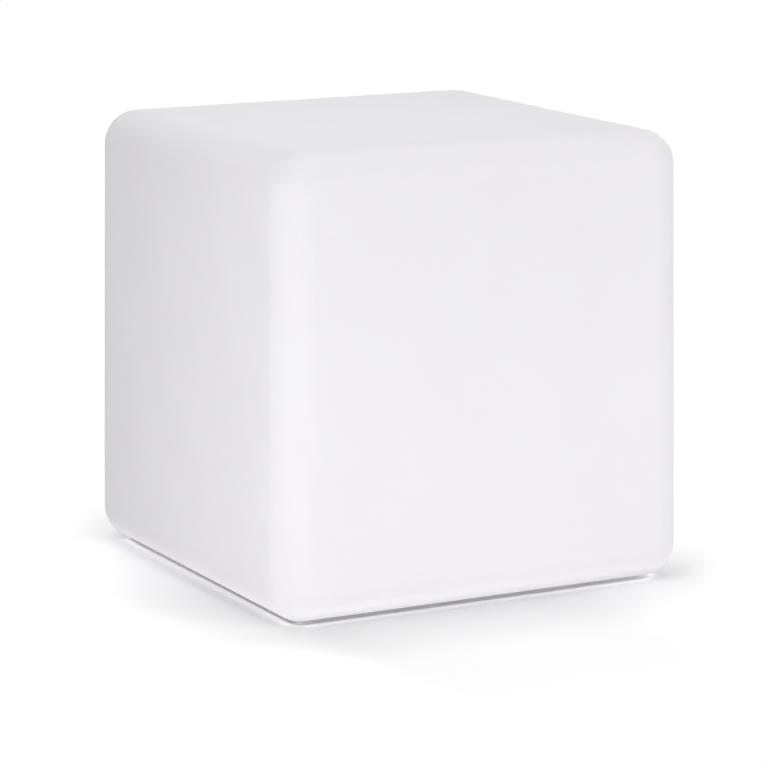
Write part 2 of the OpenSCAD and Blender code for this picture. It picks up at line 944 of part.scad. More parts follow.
// A clear rod that carries the light through the cover
module charge_indicator() {
    rod_z = cover_z - indicator_proud;
    rod_top = control_z - status_led_h;
    color([0.85, 0.9, 0.95, 0.6])
        translate([0, indicator_y, 0]) {
            translate([0, 0, rod_z])
                cylinder(d = indicator_d, h = rod_top - rod_z);
            translate([0, 0, cover_top])
                cylinder(d = indicator_flange_d, h = indicator_flange_t);
        }
}

// Places its children once for each cell, on the cell's axis, pointing along +Y
module at_cells() {
    for (i = [0 : cell_count - 1])
        translate([(i - (cell_count - 1) / 2) * cell_pitch, cell_front, cell_z])
            rotate([-90, 0, 0])
                children();
}

module battery_cradle() {
    inner_len = cell_len + 2 * tab_t;
    color([0.2, 0.2, 0.22])
        difference() {
            translate([-cradle_w / 2, cell_front - tab_t - cradle_wall, cover_top])
                cube([cradle_w, inner_len + 2 * cradle_wall, cradle_floor + cradle_h]);
            translate([0, -tab_t, 0])
                at_cells()
                    cylinder(r = cell_d / 2 + cell_play, h = inner_len);
            for (y = [cell_front - tab_t, cell_back])
                translate([-cell_row_w / 2, y, cell_z - tab_h / 2])
                    cube([cell_row_w, tab_t, tab_h]);
        }
}

module battery_cells() {
    button_d_cell = 6;
    button_h_cell = 0.2;
    groove_z = cell_len - 4;
    groove = 0.4;
    color([0.2, 0.45, 0.75])
        at_cells()
            difference() {
                cylinder(d = cell_d, h = cell_len);
                ring(cell_d / 2 + eps, cell_d / 2 - groove, 1, groove_z);
                ring(cell_d / 2 - 1, button_d_cell / 2, button_h_cell + eps, cell_len - button_h_cell);
            }
}

module battery_tabs() {
    color("gainsboro")
        for (y = [cell_front - tab_t, cell_back])
            translate([-cell_row_w / 2, y, cell_z - tab_h / 2])
                cube([cell_row_w, tab_t, tab_h]);
}

module battery_pad() {
    color([0.3, 0.3, 0.32])
        translate([-cell_row_w / 2, clamp_y - clamp_w / 2, cell_top])
            cube([cell_row_w, clamp_w, pad_t]);
}

module battery_clamp() {
    end_r = small_boss_d / 2;
    color([0.2, 0.2, 0.22])
        difference() {
            translate([-clamp_post_x, clamp_y - clamp_w / 2, clamp_z])
                cube([2 * clamp_post_x, clamp_w, clamp_t]);
            for (side = [-1, 1])
                translate([side * clamp_post_x, clamp_y, clamp_z - eps])
                    cylinder(r = end_r, h = clamp_t + 2 * eps);
        }
    color([0.2, 0.2, 0.22])
        for (side = [-1, 1])
            translate([side * clamp_post_x, clamp_y, 0])
                ring(end_r, small_d / 2, clamp_t, clamp_z);
}

module clamp_screws() {
    color("silver")
        for (side = [-1, 1])
            translate([side * clamp_post_x, clamp_y, clamp_top])
                pan_screw_down(small_d, clamp_screw_len, small_head_d, small_head_h);
}

module switch_body() {
    color([0.25, 0.25, 0.27])
        translate([-port_r, 0, 0])
            difference() {
                union() {
                    translate([0, 0, switch_rim_z])
                        bevelled_disc(switch_rim_d / 2, switch_rim_t, rim_chamfer);
                    translate([0, 0, cover_z])
                        cylinder(d = switch_barrel_d, h = switch_barrel_h);
                }
                translate([0, 0, switch_rim_z - eps])
                    cylinder(r = button_d / 2 + button_clear, h = switch_lip_h + 2 * eps);
                translate([0, 0, switch_rim_z + switch_lip_h])
                    cylinder(r = switch_room_r, h = switch_barrel_top);
            }
}

// A solder lug that stands on z
module lug(x, z) {
    translate([x, 0, 0])
        difference() {
            block([lug_w, lug_t, lug_h], z);
            translate([0, 0, z + lug_h - lug_w / 2])
                rotate([90, 0, 0])
                    cylinder(d = lug_w / 2.4, h = 2 * lug_t, center = true);
        }
}

module switch_contacts() {
    color([0.55, 0.3, 0.15])
        translate([-port_r, 0, 0]) {
            translate([0, 0, contact_post_z])
                cylinder(d = button_pilot_d, h = contact_block_z - contact_post_z + contact_block_h / 2);
            translate([0, 0, contact_block_z])
                cylinder(r = switch_room_r, h = contact_block_h);
            translate([0, 0, switch_barrel_top])
                cylinder(d = switch_barrel_d, h = contact_cap_t);
        }
}

module switch_lugs() {
    color("gold")
        translate([-port_r, 0, 0])
            for (side = [-1, 1])
                lug(side * switch_lug_x, switch_barrel_top + contact_cap_t);
}

// A hexagon nut, stated by its width across the flats, that stands on the inside of the cover
module panel_nut(x, flats, thread_d, thickness) {
    corners_d = flats / cos(30);
    translate([x, 0, cover_top])
        difference() {
            cylinder(d = corners_d, h = thickness, $fn = 6);
            translate([0, 0, -eps])
                cylinder(d = thread_d, h = thickness + 2 * eps);
        }
}

module switch_nut() {
    color("silver")
        panel_nut(-port_r, switch_nut_w, switch_barrel_d, switch_nut_t);
}

module switch_seal() {
    color("gray")
        translate([-port_r, 0, 0])
            ring(switch_rim_d / 2 - seal_inset, switch_barrel_d / 2, seat_depth, cover_z);
}

// The button: a plunger with a collar that keeps it in, and a pilot for the spring
module power_button() {
    front_z = switch_rim_z - button_proud;
    dish_r = (pow(button_d / 2 - 1, 2) + pow(button_dish, 2)) / (2 * button_dish);
    color([0.93, 0.93, 0.92])
        translate([-port_r, 0, 0])
            difference() {
                union() {
                    translate([0, 0, front_z])
                        bevelled_disc(button_d / 2, button_flange_z - front_z, rim_chamfer);
                    translate([0, 0, button_flange_z])
                        cylinder(r = switch_room_r - button_flange_gap, h = button_flange_t);
                    translate([0, 0, button_flange_top])
                        cylinder(d = button_pilot_d, h = button_pilot_h);
                }
                translate([0, 0, front_z + button_dish - dish_r])
                    sphere(r = dish_r);
            }
}

function unit(v) = v / norm(v);

function tangent(path, i) = unit(path[min(i + 1, len(path) - 1)] - path[max(i - 1, 0)]);

// One ring of points around the path; across is a direction that the path never runs along
function tube_ring(path, i, r, sides, across) =
    let (t = tangent(path, i), n = unit(cross(t, across)), b = cross(t, n))
    [for (k = [0 : sides - 1]) path[i] + r * (cos(360 * k / sides) * n + sin(360 * k / sides) * b)];

// A closed tube along a path
module tube(path, d, sides, across) {
    last = len(path) - 1;
    points = [for (i = [0 : last]) each tube_ring(path, i, d / 2, sides, across)];
    start_cap = [for (k = [0 : sides - 1]) k];
    end_cap = [for (k = [sides - 1 : -1 : 0]) last * sides + k];
    walls = [
        for (i = [0 : last - 1], k = [0 : sides - 1])
            let (next = (k + 1) % sides, low = i * sides, high = low + sides)
            each [[low + k, high + k, high + next], [low + k, high + next, low + next]],
    ];
    polyhedron(points = points, faces = concat([start_cap, end_cap], walls), convexity = 10);
}

// A point of the smooth curve through p, between points i and i + 1
function curve_point(p, i, t) =
    let (a = p[max(i - 1, 0)], b = p[i], c = p[i + 1], d = p[min(i + 2, len(p) - 1)])
    (2 * b + (c - a) * t + (2 * a - 5 * b + 4 * c - d) * t * t + (3 * b - a - 3 * c + d) * t * t * t) / 2;

function curve(p) = [
    for (i = [0 : len(p) - 2], s = [0 : wire_steps - 1]) curve_point(p, i, s / wire_steps),
    p[len(p) - 1],
];

// The return spring, an open coil between the button's collar and the contact block
module switch_spring() {
    steps_per_turn = 12;
    steps = spring_turns * steps_per_turn;
    low = button_flange_top + spring_wire / 2;
    high = contact_block_z - spring_wire / 2;
    path = [
        for (i = [0 : steps])
            let (turn = 360 * i / steps_per_turn)
            [spring_d / 2 * cos(turn), spring_d / 2 * sin(turn), low + (high - low) * i / steps],
    ];
    color("silver")
        translate([-port_r, 0, 0])
            tube(path, spring_wire, 6, [0, 0, 1]);
}

module charge_jack() {
    color([0.18, 0.18, 0.2])
        translate([port_r, 0, 0])
            difference() {
                union() {
                    translate([0, 0, jack_rim_z])
                        bevelled_disc(jack_rim_d / 2, jack_rim_t, rim_chamfer);
                    translate([0, 0, cover_z])
                        cylinder(d = jack_barrel_d, h = jack_barrel_h);
                }
                translate([0, 0, jack_rim_z - eps])
                    cylinder(d = jack_bore_d, h = jack_bore_depth + eps);
                translate([0, 0, jack_bore_top - eps])
                    cylinder(d = jack_pin_root_d, h = jack_barrel_h);
            }
}

// The centre pin of the socket, its root in the back wall, and the two solder lugs
module jack_contacts() {
    tip_z = jack_rim_z + jack_pin_inset;
    straight_z = tip_z + jack_pin_chamfer;
    tip_d = jack_pin_d - 2 * jack_pin_chamfer;
    color("gold")
        translate([port_r, 0, 0]) {
            translate([0, 0, tip_z])
                cylinder(d1 = tip_d, d2 = jack_pin_d, h = jack_pin_chamfer);
            translate([0, 0, straight_z])
                cylinder(d = jack_pin_d, h = jack_bore_top - straight_z);
            translate([0, 0, jack_bore_top])
                cylinder(d = jack_pin_root_d, h = jack_barrel_top - jack_bore_top);
            block([lug_w, lug_t, lug_h], jack_barrel_top);
            lug(-jack_lug_x, jack_barrel_top);
        }
}

module jack_nut() {
    color("silver")
        panel_nut(port_r, jack_nut_w, jack_barrel_d, jack_nut_t);
}

module jack_seal() {
    color("gray")
        translate([port_r, 0, 0])
            ring(jack_rim_d / 2 - seal_inset, jack_barrel_d / 2, seat_depth, cover_z);
}

// The flap over the socket: a shallow cup on an arm, with a knuckle around the hinge pin
module charge_flap() {
    skirt_top = jack_rim_z + flap_skirt_h;
    pad_seat = flap_pad_z;
    color([0.8, 0.81, 0.81])
        difference() {
            union() {
                translate([port_r, 0, flap_z])
                    bevelled_disc(flap_r, skirt_top - flap_z, rim_chamfer);
                translate([hinge_x, -flap_arm_w / 2, flap_z])
                    cube([hinge_reach + flap_r + flap_tab, flap_arm_w, flap_t]);
                translate([hinge_x, flap_arm_w / 2, hinge_z])
                    rotate([90, 0, 0])
                        cylinder(r = hinge_r, h = flap_arm_w);
            }
            translate([port_r, 0, pad_seat])
                cylinder(r = flap_skirt_r, h = skirt_top);
            translate([hinge_x, 0, hinge_z])
                rotate([90, 0, 0])
                    cylinder(r = hinge_pin_d / 2 + hinge_clear, h = 2 * flap_arm_w, center = true);
        }
}

module flap_pad() {
    color("gray")
        translate([port_r, 0, flap_pad_z])
            cylinder(r = flap_pad_r, h = flap_pad_t);
}

module flap_hinge_pin() {
    length = flap_arm_w + 2 * hinge_side_gap + 2 * hinge_ear_t;
    color("silver")
        translate([hinge_x, length / 2, hinge_z])
            rotate([90, 0, 0])
                cylinder(d = hinge_pin_d, h = length);
}

module wire(points, d, across) {
    tube(curve(points), d, wire_sides, across);
}

// From the strip at the back of the cells, past their side, to the control board
module battery_lead_positive() {
    side_x = cell_row_w / 2 + wire_d;
    strip_y = cell_back + tab_t + wire_d / 2 + wire_gap;
    run_z = cell_z + bend / 2;
    end = [battery_plug[0] + plug_pitch / 2, battery_plug[1], plug_top];
    color("firebrick")
        wire([
            [cell_pitch - bend, strip_y, run_z],
            [cell_pitch, strip_y, run_z],
            [cell_pitch + bend, strip_y, run_z],
            [side_x - bend / 4, strip_y + wire_d / 5, run_z],
            [side_x, cell_back - bend / 2, run_z],
            [side_x, cell_back - 3 * bend, run_z],
            [side_x, clamp_y, run_z],
            [side_x, cell_front + bend, run_z],
            [side_x - bend / 2, cell_front - bend, run_z + bend / 2],
            [end[0] + bend, (cell_front - bend + end[1]) / 2, run_z + bend],
            [end[0] + bend / 8, end[1] + bend / 4, plug_top + bend],
            end,
            end - [0, 0, plug_slot - wire_gap],
        ], wire_d, [0.1, 0.1, 1]);
}

// From the strip at the front of the cells to the control board
module battery_lead_negative() {
    strip_y = cell_front - tab_t - wire_d / 2 - wire_gap;
    run_z = cell_z + bend / 2;
    end = [battery_plug[0] - plug_pitch / 2, battery_plug[1], plug_top];
    color([0.15, 0.15, 0.15])
        wire([
            [-bend, strip_y, run_z],
            [0, strip_y, run_z],
            [bend, strip_y, run_z],
            [end[0] - bend, strip_y - bend / 2, run_z + bend / 2],
            [end[0], (strip_y + end[1]) / 2 - bend / 4, run_z + bend],
            [end[0], end[1] + bend / 8, plug_top + bend],
            end,
            end - [0, 0, plug_slot - wire_gap],
        ], wire_d, [1, 0.2, 0.2]);
}

// Four thin wires side by side, from the light board down through the grommet
module led_lead() {
    out_z = led_board_top + plug_depth / 2;
    color("whitesmoke")
        for (i = [-1.5 : 1.5]) {
            x = i * thin_wire_pitch;
            wire([
                [x, led_plug_y - plug_slot + wire_gap, out_z],
                [x, led_plug_y, out_z],
                [x, led_plug_y + bend / 2, out_z],
                [x, lead_hole_y - bend / 5, out_z - bend / 6],
                [x, lead_hole_y, led_board_top - bend / 4],
                [x, lead_hole_y, deck_z - bend / 4],
                [x, lead_hole_y, plug_top + bend / 2],
                [x, lead_hole_y, plug_top - plug_slot + wire_gap],
            ], thin_wire_d, [1, 0, 0]);
        }
}

// Two wires in an arch from a pair of lugs at x, over to a connector on the control board
module port_leads(x, lugs, lug_top, plug_at) {
    for (i = [0, 1]) {
        start = [x + lugs[i], -(lug_t + wire_d) / 2 - 2 * wire_gap, lug_top];
        end = [plug_at[0], plug_at[1] + (i - 0.5) * plug_pitch, plug_top];
        rise = [0, 0, bend + (1 - i) * wire_d];
        wire([
            start - [0, 0, lug_h / 2],
            start,
            start + (end - start) * 0.12 + rise * 0.7,
            start + (end - start) * 0.45 + rise * 1.2,
            start + (end - start) * 0.8 + rise * 1.2,
            end + rise * 0.6,
            end,
            end - [0, 0, plug_slot - wire_gap],
        ], wire_d, [1, 0.1, 0.1]);
    }
}

module switch_leads() {
    color("steelblue")
        port_leads(-port_r, [-switch_lug_x, switch_lug_x], switch_lug_top, switch_plug);
}

module jack_leads() {
    color([0.75, 0.2, 0.15])
        port_leads(port_r, [0, -jack_lug_x], jack_lug_top, jack_plug);
}

shell();
thread_inserts();
feet();
flange_gasket();
base_cover();
flange_screws();
screw_washers();
module_housing();
housing_seal();
housing_screws();
led_board();
leds();
led_board_screws();
led_connector();
remote_sensor();
lead_grommet();
dome_seal();
dome_lens();
dome_ring();
dome_screws();
control_board();
board_screws();
control_chips();
inductor();
capacitors();
board_connectors();
status_led();
charge_indicator();
battery_cradle();
battery_cells();
battery_tabs();
battery_pad();
battery_clamp();
clamp_screws();
switch_body();
switch_contacts();
switch_lugs();
switch_nut();
switch_seal();
switch_spring();
power_button();
charge_jack();
jack_contacts();
jack_nut();
jack_seal();
charge_flap();
flap_pad();
flap_hinge_pin();
battery_lead_positive();
battery_lead_negative();
led_lead();
switch_leads();
jack_leads();
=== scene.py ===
"""The look of a rechargeable outdoor light cube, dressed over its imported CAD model.

Everything is in metres, in the frame of the CAD model: +Z up, with the origin on the floor under
the middle of the cube. The moulded cube gets a finer mesh, and the return spring of the button
a copy of its own. Every other CAD node keeps its shape and gets its finish here.
"""
import json
import math

import bmesh
import bpy
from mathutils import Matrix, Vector
from mathutils.geometry import delaunay_2d_cdt


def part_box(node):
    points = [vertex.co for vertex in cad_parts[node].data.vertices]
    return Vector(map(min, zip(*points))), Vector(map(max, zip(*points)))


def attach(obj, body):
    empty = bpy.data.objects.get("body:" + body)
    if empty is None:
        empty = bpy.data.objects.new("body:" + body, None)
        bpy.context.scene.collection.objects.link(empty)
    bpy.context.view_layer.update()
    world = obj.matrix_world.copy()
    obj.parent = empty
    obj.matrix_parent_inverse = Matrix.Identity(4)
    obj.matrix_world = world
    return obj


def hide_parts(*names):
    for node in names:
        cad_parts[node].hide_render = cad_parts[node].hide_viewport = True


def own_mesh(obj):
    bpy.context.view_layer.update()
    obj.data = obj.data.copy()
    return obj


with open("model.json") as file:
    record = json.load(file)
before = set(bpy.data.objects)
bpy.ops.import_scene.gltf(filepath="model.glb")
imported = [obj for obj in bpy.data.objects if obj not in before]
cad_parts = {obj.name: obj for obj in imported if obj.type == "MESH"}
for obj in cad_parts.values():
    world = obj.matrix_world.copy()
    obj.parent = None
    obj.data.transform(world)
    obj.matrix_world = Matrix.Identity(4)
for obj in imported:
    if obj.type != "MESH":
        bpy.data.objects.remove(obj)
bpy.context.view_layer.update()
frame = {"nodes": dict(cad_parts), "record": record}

MM = 0.001

# Sizes of the moulding that no box in the frame shows
EDGE_R = 31 * MM
WALL = 3.5 * MM
SIDE_DRAFT = math.radians(0.7)
RECESS_CHAMFER = 3 * MM
COVER_GAP = 5 * MM
LAND_T = 5 * MM
HOUSING_GAP = 2 * MM
FOOT_R = 13 * MM
INSERT_COUNT = 6
INSERT_R = 3.1 * MM
INSERT_WALL = 4 * MM

# Sizes that the frame gives
shell_low, shell_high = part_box("shell")
half_w = shell_high.x
base_z = shell_low.z
top_z = shell_high.z
straight_h = top_z - base_z - 2 * EDGE_R
low_half = half_w - EDGE_R
high_half = low_half - straight_h * math.tan(SIDE_DRAFT)
recess_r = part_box("base_cover")[1].x + COVER_GAP
land_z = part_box("flange_gasket")[1].z
land_top = land_z + LAND_T
mouth_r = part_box("module_housing")[1].x + HOUSING_GAP
cup_r = recess_r + WALL
foot_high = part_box("feet")[1]
foot_xy = foot_high.x - FOOT_R
insert_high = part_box("thread_inserts")[1]
insert_place_r = insert_high.x - INSERT_R
boss_r = INSERT_R + INSERT_WALL
boss_top = insert_high.z + INSERT_WALL
cover_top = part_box("flange_gasket")[0].z


class Tree:
    """Short ways to build a node tree."""

    def __init__(self, tree):
        self.nodes = tree.nodes
        self.links = tree.links

    def node(self, kind, **settings):
        made = self.nodes.new(kind)
        for name, value in settings.items():
            setattr(made, name, value)
        return made

    def plug(self, value, socket):
        """Puts a number, a colour or another node's output into a socket."""
        if isinstance(value, bpy.types.NodeSocket):
            self.links.new(value, socket)
        elif isinstance(value, tuple) and len(value) == 3 and socket.type == "RGBA":
            socket.default_value = (*value, 1)
        else:
            socket.default_value = value

    def math(self, operation, *values):
        made = self.node("ShaderNodeMath", operation=operation)
        for value, socket in zip(values, made.inputs):
            self.plug(value, socket)
        return made.outputs[0]

    def spread(self, value, low, high, from_low=0.3, from_high=0.7, smooth=False):
        """Maps a range of a value, by default the middle of a texture's, onto low to high."""
        made = self.node("ShaderNodeMapRange")
        if smooth:
            made.interpolation_type = "SMOOTHSTEP"
        made.inputs["From Min"].default_value = from_low
        made.inputs["From Max"].default_value = from_high
        made.inputs["To Min"].default_value = low
        made.inputs["To Max"].default_value = high
        self.plug(value, made.inputs["Value"])
        return made.outputs[0]

    def length(self, across, along):
        squares = [self.math("POWER", value, 2.0) for value in (across, along)]
        return self.math("SQRT", self.math("ADD", *squares))

    def seen_directly(self):
        """1 for rays from the camera and for what metal or glass mirrors, otherwise 0."""
        path = self.node("ShaderNodeLightPath").outputs
        mirrored = self.math("MAXIMUM", path["Is Glossy Ray"], path["Is Transmission Ray"])
        return self.math("MAXIMUM", path["Is Camera Ray"], mirrored)


class Finish(Tree):
    """A Principled material whose colour, roughness and relief come from procedural textures."""

    def __init__(self, name, colour, roughness, **sockets):
        self.material = bpy.data.materials.new(name)
        self.material.use_nodes = True
        self.material.diffuse_color = (*colour, 1)
        super().__init__(self.material.node_tree)
        self.shader = self.nodes["Principled BSDF"]
        self.shader.inputs["Base Color"].default_value = (*colour, 1)
        self.shader.inputs["Roughness"].default_value = roughness
        for socket, value in sockets.items():
            self.shader.inputs[socket.replace("_", " ")].default_value = value
        self.place = self.node("ShaderNodeTexCoord").outputs["Object"]
        self.normal = None

    def stretched(self, scale):
        """Object coordinates, stretched by a scale along each axis."""
        made = self.node("ShaderNodeMapping")
        self.plug(self.place, made.inputs["Vector"])
        made.inputs["Scale"].default_value = scale
        return made.outputs[0]

    def noise(self, size, detail=2.0, where=None):
        """Noise from 0 to 1, whose blotches are about size metres across."""
        made = self.node("ShaderNodeTexNoise")
        self.plug(where or self.place, made.inputs["Vector"])
        made.inputs["Scale"].default_value = 1 / size
        made.inputs["Detail"].default_value = detail
        return made.outputs["Fac"]

    def cells(self, size, feature="F1", where=None):
        made = self.node("ShaderNodeTexVoronoi", feature=feature)
        self.plug(where or self.place, made.inputs["Vector"])
        made.inputs["Scale"].default_value = 1 / size
        return made

    def mix(self, share, first, second):
        """A colour between two colours."""
        made = self.node("ShaderNodeMix", data_type="RGBA")
        self.plug(share, made.inputs[0])
        self.plug(first, made.inputs[6])
        self.plug(second, made.inputs[7])
        return made.outputs[2]

    def part(self, axis, of="Position"):
        """One coordinate of the point, or of the true surface normal, at rest."""
        source = self.place
        if of == "Normal":
            source = self.node("ShaderNodeTexCoord").outputs["Normal"]
        made = self.node("ShaderNodeSeparateXYZ")
        self.plug(source, made.inputs[0])
        return made.outputs[axis]

    def colour(self, value):
        self.plug(value, self.shader.inputs["Base Color"])

    def roughness(self, value):
        self.plug(value, self.shader.inputs["Roughness"])

    def relief(self, height, depth, share=1.0):
        """Adds a bump of that depth in metres, over the bumps that are there."""
        made = self.node("ShaderNodeBump")
        made.inputs["Strength"].default_value = share
        made.inputs["Distance"].default_value = depth
        self.plug(height, made.inputs["Height"])
        if self.normal:
            self.plug(self.normal, made.inputs["Normal"])
        self.normal = made.outputs[0]
        self.plug(self.normal, self.shader.inputs["Normal"])


def shade(colour, factor):
    return tuple(min(1.0, part * factor) for part in colour)


def mottled(name, colour, roughness, blotch, tone, grain, depth):
    """A plain moulded or coated surface: soft blotches of tone, uneven gloss and a fine grain."""
    made = Finish(name, colour, roughness)
    blotches = made.noise(blotch, detail=3.0)
    darker, lighter = shade(colour, 1 - tone), shade(colour, 1 + tone)
    made.colour(made.mix(made.spread(blotches, 0.0, 1.0), darker, lighter))
    made.roughness(made.spread(made.noise(blotch / 3), roughness * 0.9, min(1.0, roughness * 1.1)))
    made.relief(made.noise(grain, detail=1.0), depth)
    return made


def moulded_shell():
    """Matt white polyethylene: it lets a little light in, and has a fine blasted grain."""
    colour = (0.925, 0.906, 0.94)
    made = Finish(
        "moulded_polyethylene", colour, 0.58, Subsurface_Weight=0.25, Specular_IOR_Level=0.3)
    made.shader.inputs["Subsurface Radius"].default_value = (1.0, 0.95, 0.9)
    made.shader.inputs["Subsurface Scale"].default_value = 4 * MM
    clouds = made.noise(70 * MM, detail=3.0)
    flecks = made.noise(2 * MM, detail=2.0)
    tone = made.math("ADD", made.math("MULTIPLY", clouds, 0.7), made.math("MULTIPLY", flecks, 0.3))
    made.colour(made.mix(made.spread(tone, 0.0, 1.0), shade(colour, 0.985), shade(colour, 1.01)))
    made.roughness(made.spread(clouds, 0.54, 0.62))
    made.relief(made.noise(1.1 * MM, detail=2.0), 0.012 * MM)
    made.relief(made.noise(22 * MM, detail=1.0), 0.05 * MM, 0.5)
    return made


def rubber(name, colour, roughness=0.8, depth=0.02 * MM):
    made = mottled(name, colour, roughness, blotch=5 * MM, tone=0.1, grain=0.35 * MM, depth=depth)
    made.shader.inputs["Specular IOR Level"].default_value = 0.3
    return made


def foot_rubber():
    """Rubber with fine rings pressed into its face, and dust in them."""
    colour = (0.035, 0.035, 0.037)
    ring_pitch = 1.6 * MM
    made = rubber("foot_rubber", colour)
    across = made.math("SUBTRACT", made.math("ABSOLUTE", made.part(0)), foot_xy)
    along = made.math("SUBTRACT", made.math("ABSOLUTE", made.part(1)), foot_xy)
    radius = made.length(across, along)
    rings = made.math("SINE", made.math("MULTIPLY", radius, 2 * math.pi / ring_pitch))
    made.relief(rings, 0.12 * MM)
    dust = made.math("MULTIPLY", made.spread(rings, 0.5, 0.0, -1.0, 0.0), made.noise(3 * MM))
    made.colour(made.mix(dust, colour, (0.22, 0.21, 0.2)))
    return made


def bright_metal(name, colour, roughness=0.3, streak=(1.0, 1.0, 14.0)):
    """Bright metal with fine streaks from its drawing or brushing."""
    made = Finish(name, colour, roughness, Metallic=1.0)
    streaks = made.noise(0.6 * MM, detail=3.0, where=made.stretched(streak))
    made.colour(made.mix(made.spread(streaks, 0.0, 1.0), shade(colour, 0.85), shade(colour, 1.08)))
    made.roughness(made.spread(streaks, roughness * 0.75, roughness * 1.35))
    made.relief(streaks, 0.006 * MM)
    return made


# The screw threads on the barrels of switch and socket
THREAD_PITCH = 1.0 * MM
THREAD_LENGTH = 9 * MM


def thread(made, pitch, low_z, high_z):
    """A thread's relief on the upright faces between two levels."""
    depth = 0.3 * pitch
    height = made.part(2)
    upright = made.math("LESS_THAN", made.math("ABSOLUTE", made.part(2, "Normal")), 0.5)
    above = made.math("GREATER_THAN", height, low_z)
    below = made.math("LESS_THAN", height, high_z)
    wave = made.math("SINE", made.math("MULTIPLY", height, 2 * math.pi / pitch))
    mask = made.math("MULTIPLY", upright, made.math("MULTIPLY", above, below))
    made.relief(made.math("MULTIPLY", wave, mask), depth)


def port_plastic():
    """The black plastic of switch and socket, with threads on the barrels inside the cover."""
    made = mottled(
        "port_plastic", (0.02, 0.02, 0.022), roughness=0.42,
        blotch=4 * MM, tone=0.15, grain=0.5 * MM, depth=0.008 * MM)
    thread(made, THREAD_PITCH, cover_top, cover_top + THREAD_LENGTH)
    return made


def foil_board(name, mask, trace, edge):
    """A circuit board: solder mask with tracks under it, tinned pads, and a bare cut edge."""
    made = Finish(name, mask, 0.35, Coat_Weight=0.3, Coat_Roughness=0.2)
    solder = (0.62, 0.6, 0.55)
    spacing = 4.2 * MM
    track_share, pad_share = 0.07, 0.12
    flat = made.stretched((1.0, 1.0, 0.0))
    grid = made.cells(spacing, feature="DISTANCE_TO_EDGE", where=flat)
    track = made.math("LESS_THAN", grid.outputs["Distance"], track_share)
    dots = made.cells(spacing, where=flat)
    pad = made.math("LESS_THAN", dots.outputs["Distance"], pad_share)
    face = made.mix(pad, made.mix(track, mask, trace), solder)
    level = made.math("ABSOLUTE", made.part(2, "Normal"))
    made.colour(made.mix(made.math("LESS_THAN", level, 0.5), face, edge))
    made.roughness(made.spread(made.noise(1.5 * MM), 0.3, 0.42))
    made.relief(made.math("ADD", track, pad), 0.03 * MM)
    return made


def light_diode():
    """A white package whose sunk round window is filled with yellow phosphor."""
    package = (0.86, 0.86, 0.83)
    window_depth = 0.08 * MM
    made = Finish("light_diode", package, 0.35, Subsurface_Weight=0.1)
    made.shader.inputs["Subsurface Scale"].default_value = 1 * MM
    window_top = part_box("leds")[1].z - window_depth
    sunk = made.math("LESS_THAN", made.part(2), window_top)
    facing = made.math("GREATER_THAN", made.part(2, "Normal"), 0.9)
    window = made.math("MULTIPLY", sunk, facing)
    grit = made.spread(made.noise(0.25 * MM, detail=3.0), 0.0, 1.0)
    phosphor = made.mix(grit, (0.86, 0.62, 0.08), (0.93, 0.76, 0.2))
    plastic = made.mix(grit, shade(package, 0.94), package)
    made.colour(made.mix(window, plastic, phosphor))
    made.relief(grit, 0.01 * MM)
    return made


def cell_wrap():
    """Blue shrink wrap with faint ripples around a steel can, bare at both ends."""
    wrap = (0.03, 0.13, 0.42)
    made = Finish("cell_wrap", wrap, 0.28, Coat_Weight=0.2, Coat_Roughness=0.15)
    end = made.math("GREATER_THAN", made.math("ABSOLUTE", made.part(1, "Normal")), 0.7)
    ripple = made.noise(5 * MM, detail=2.0, where=made.stretched((1.0, 0.2, 1.0)))
    film = made.mix(made.spread(ripple, 0.0, 1.0), shade(wrap, 0.8), shade(wrap, 1.3))
    made.colour(made.mix(end, film, (0.55, 0.54, 0.52)))
    made.plug(end, made.shader.inputs["Metallic"])
    made.roughness(made.spread(ripple, 0.22, 0.34))
    made.relief(ripple, 0.05 * MM)
    return made


def wire_jacket(name, colour):
    """Soft PVC with a slight sheen and fine marks from handling."""
    made = mottled(
        name, colour, roughness=0.4, blotch=3 * MM, tone=0.12, grain=0.6 * MM, depth=0.02 * MM)
    made.shader.inputs["Sheen Weight"].default_value = 0.1
    return made


def frosted_dome():
    """Frosted polycarbonate, whose grain breaks up the light behind it."""
    colour = (0.94, 0.95, 0.96)
    made = Finish("frosted_dome", colour, 0.5, Transmission_Weight=0.55, IOR=1.58)
    made.colour(made.mix(made.spread(made.noise(30 * MM), 0.0, 1.0), shade(colour, 0.96), colour))
    made.roughness(made.spread(made.noise(2 * MM), 0.45, 0.6))
    made.relief(made.noise(0.4 * MM), 0.03 * MM)
    return made


def clear_rod():
    made = Finish("clear_rod", (0.9, 0.94, 0.95), 0.08, Transmission_Weight=0.9, IOR=1.49)
    made.roughness(made.spread(made.noise(1.5 * MM), 0.05, 0.16))
    made.relief(made.noise(0.8 * MM), 0.01 * MM)
    return made


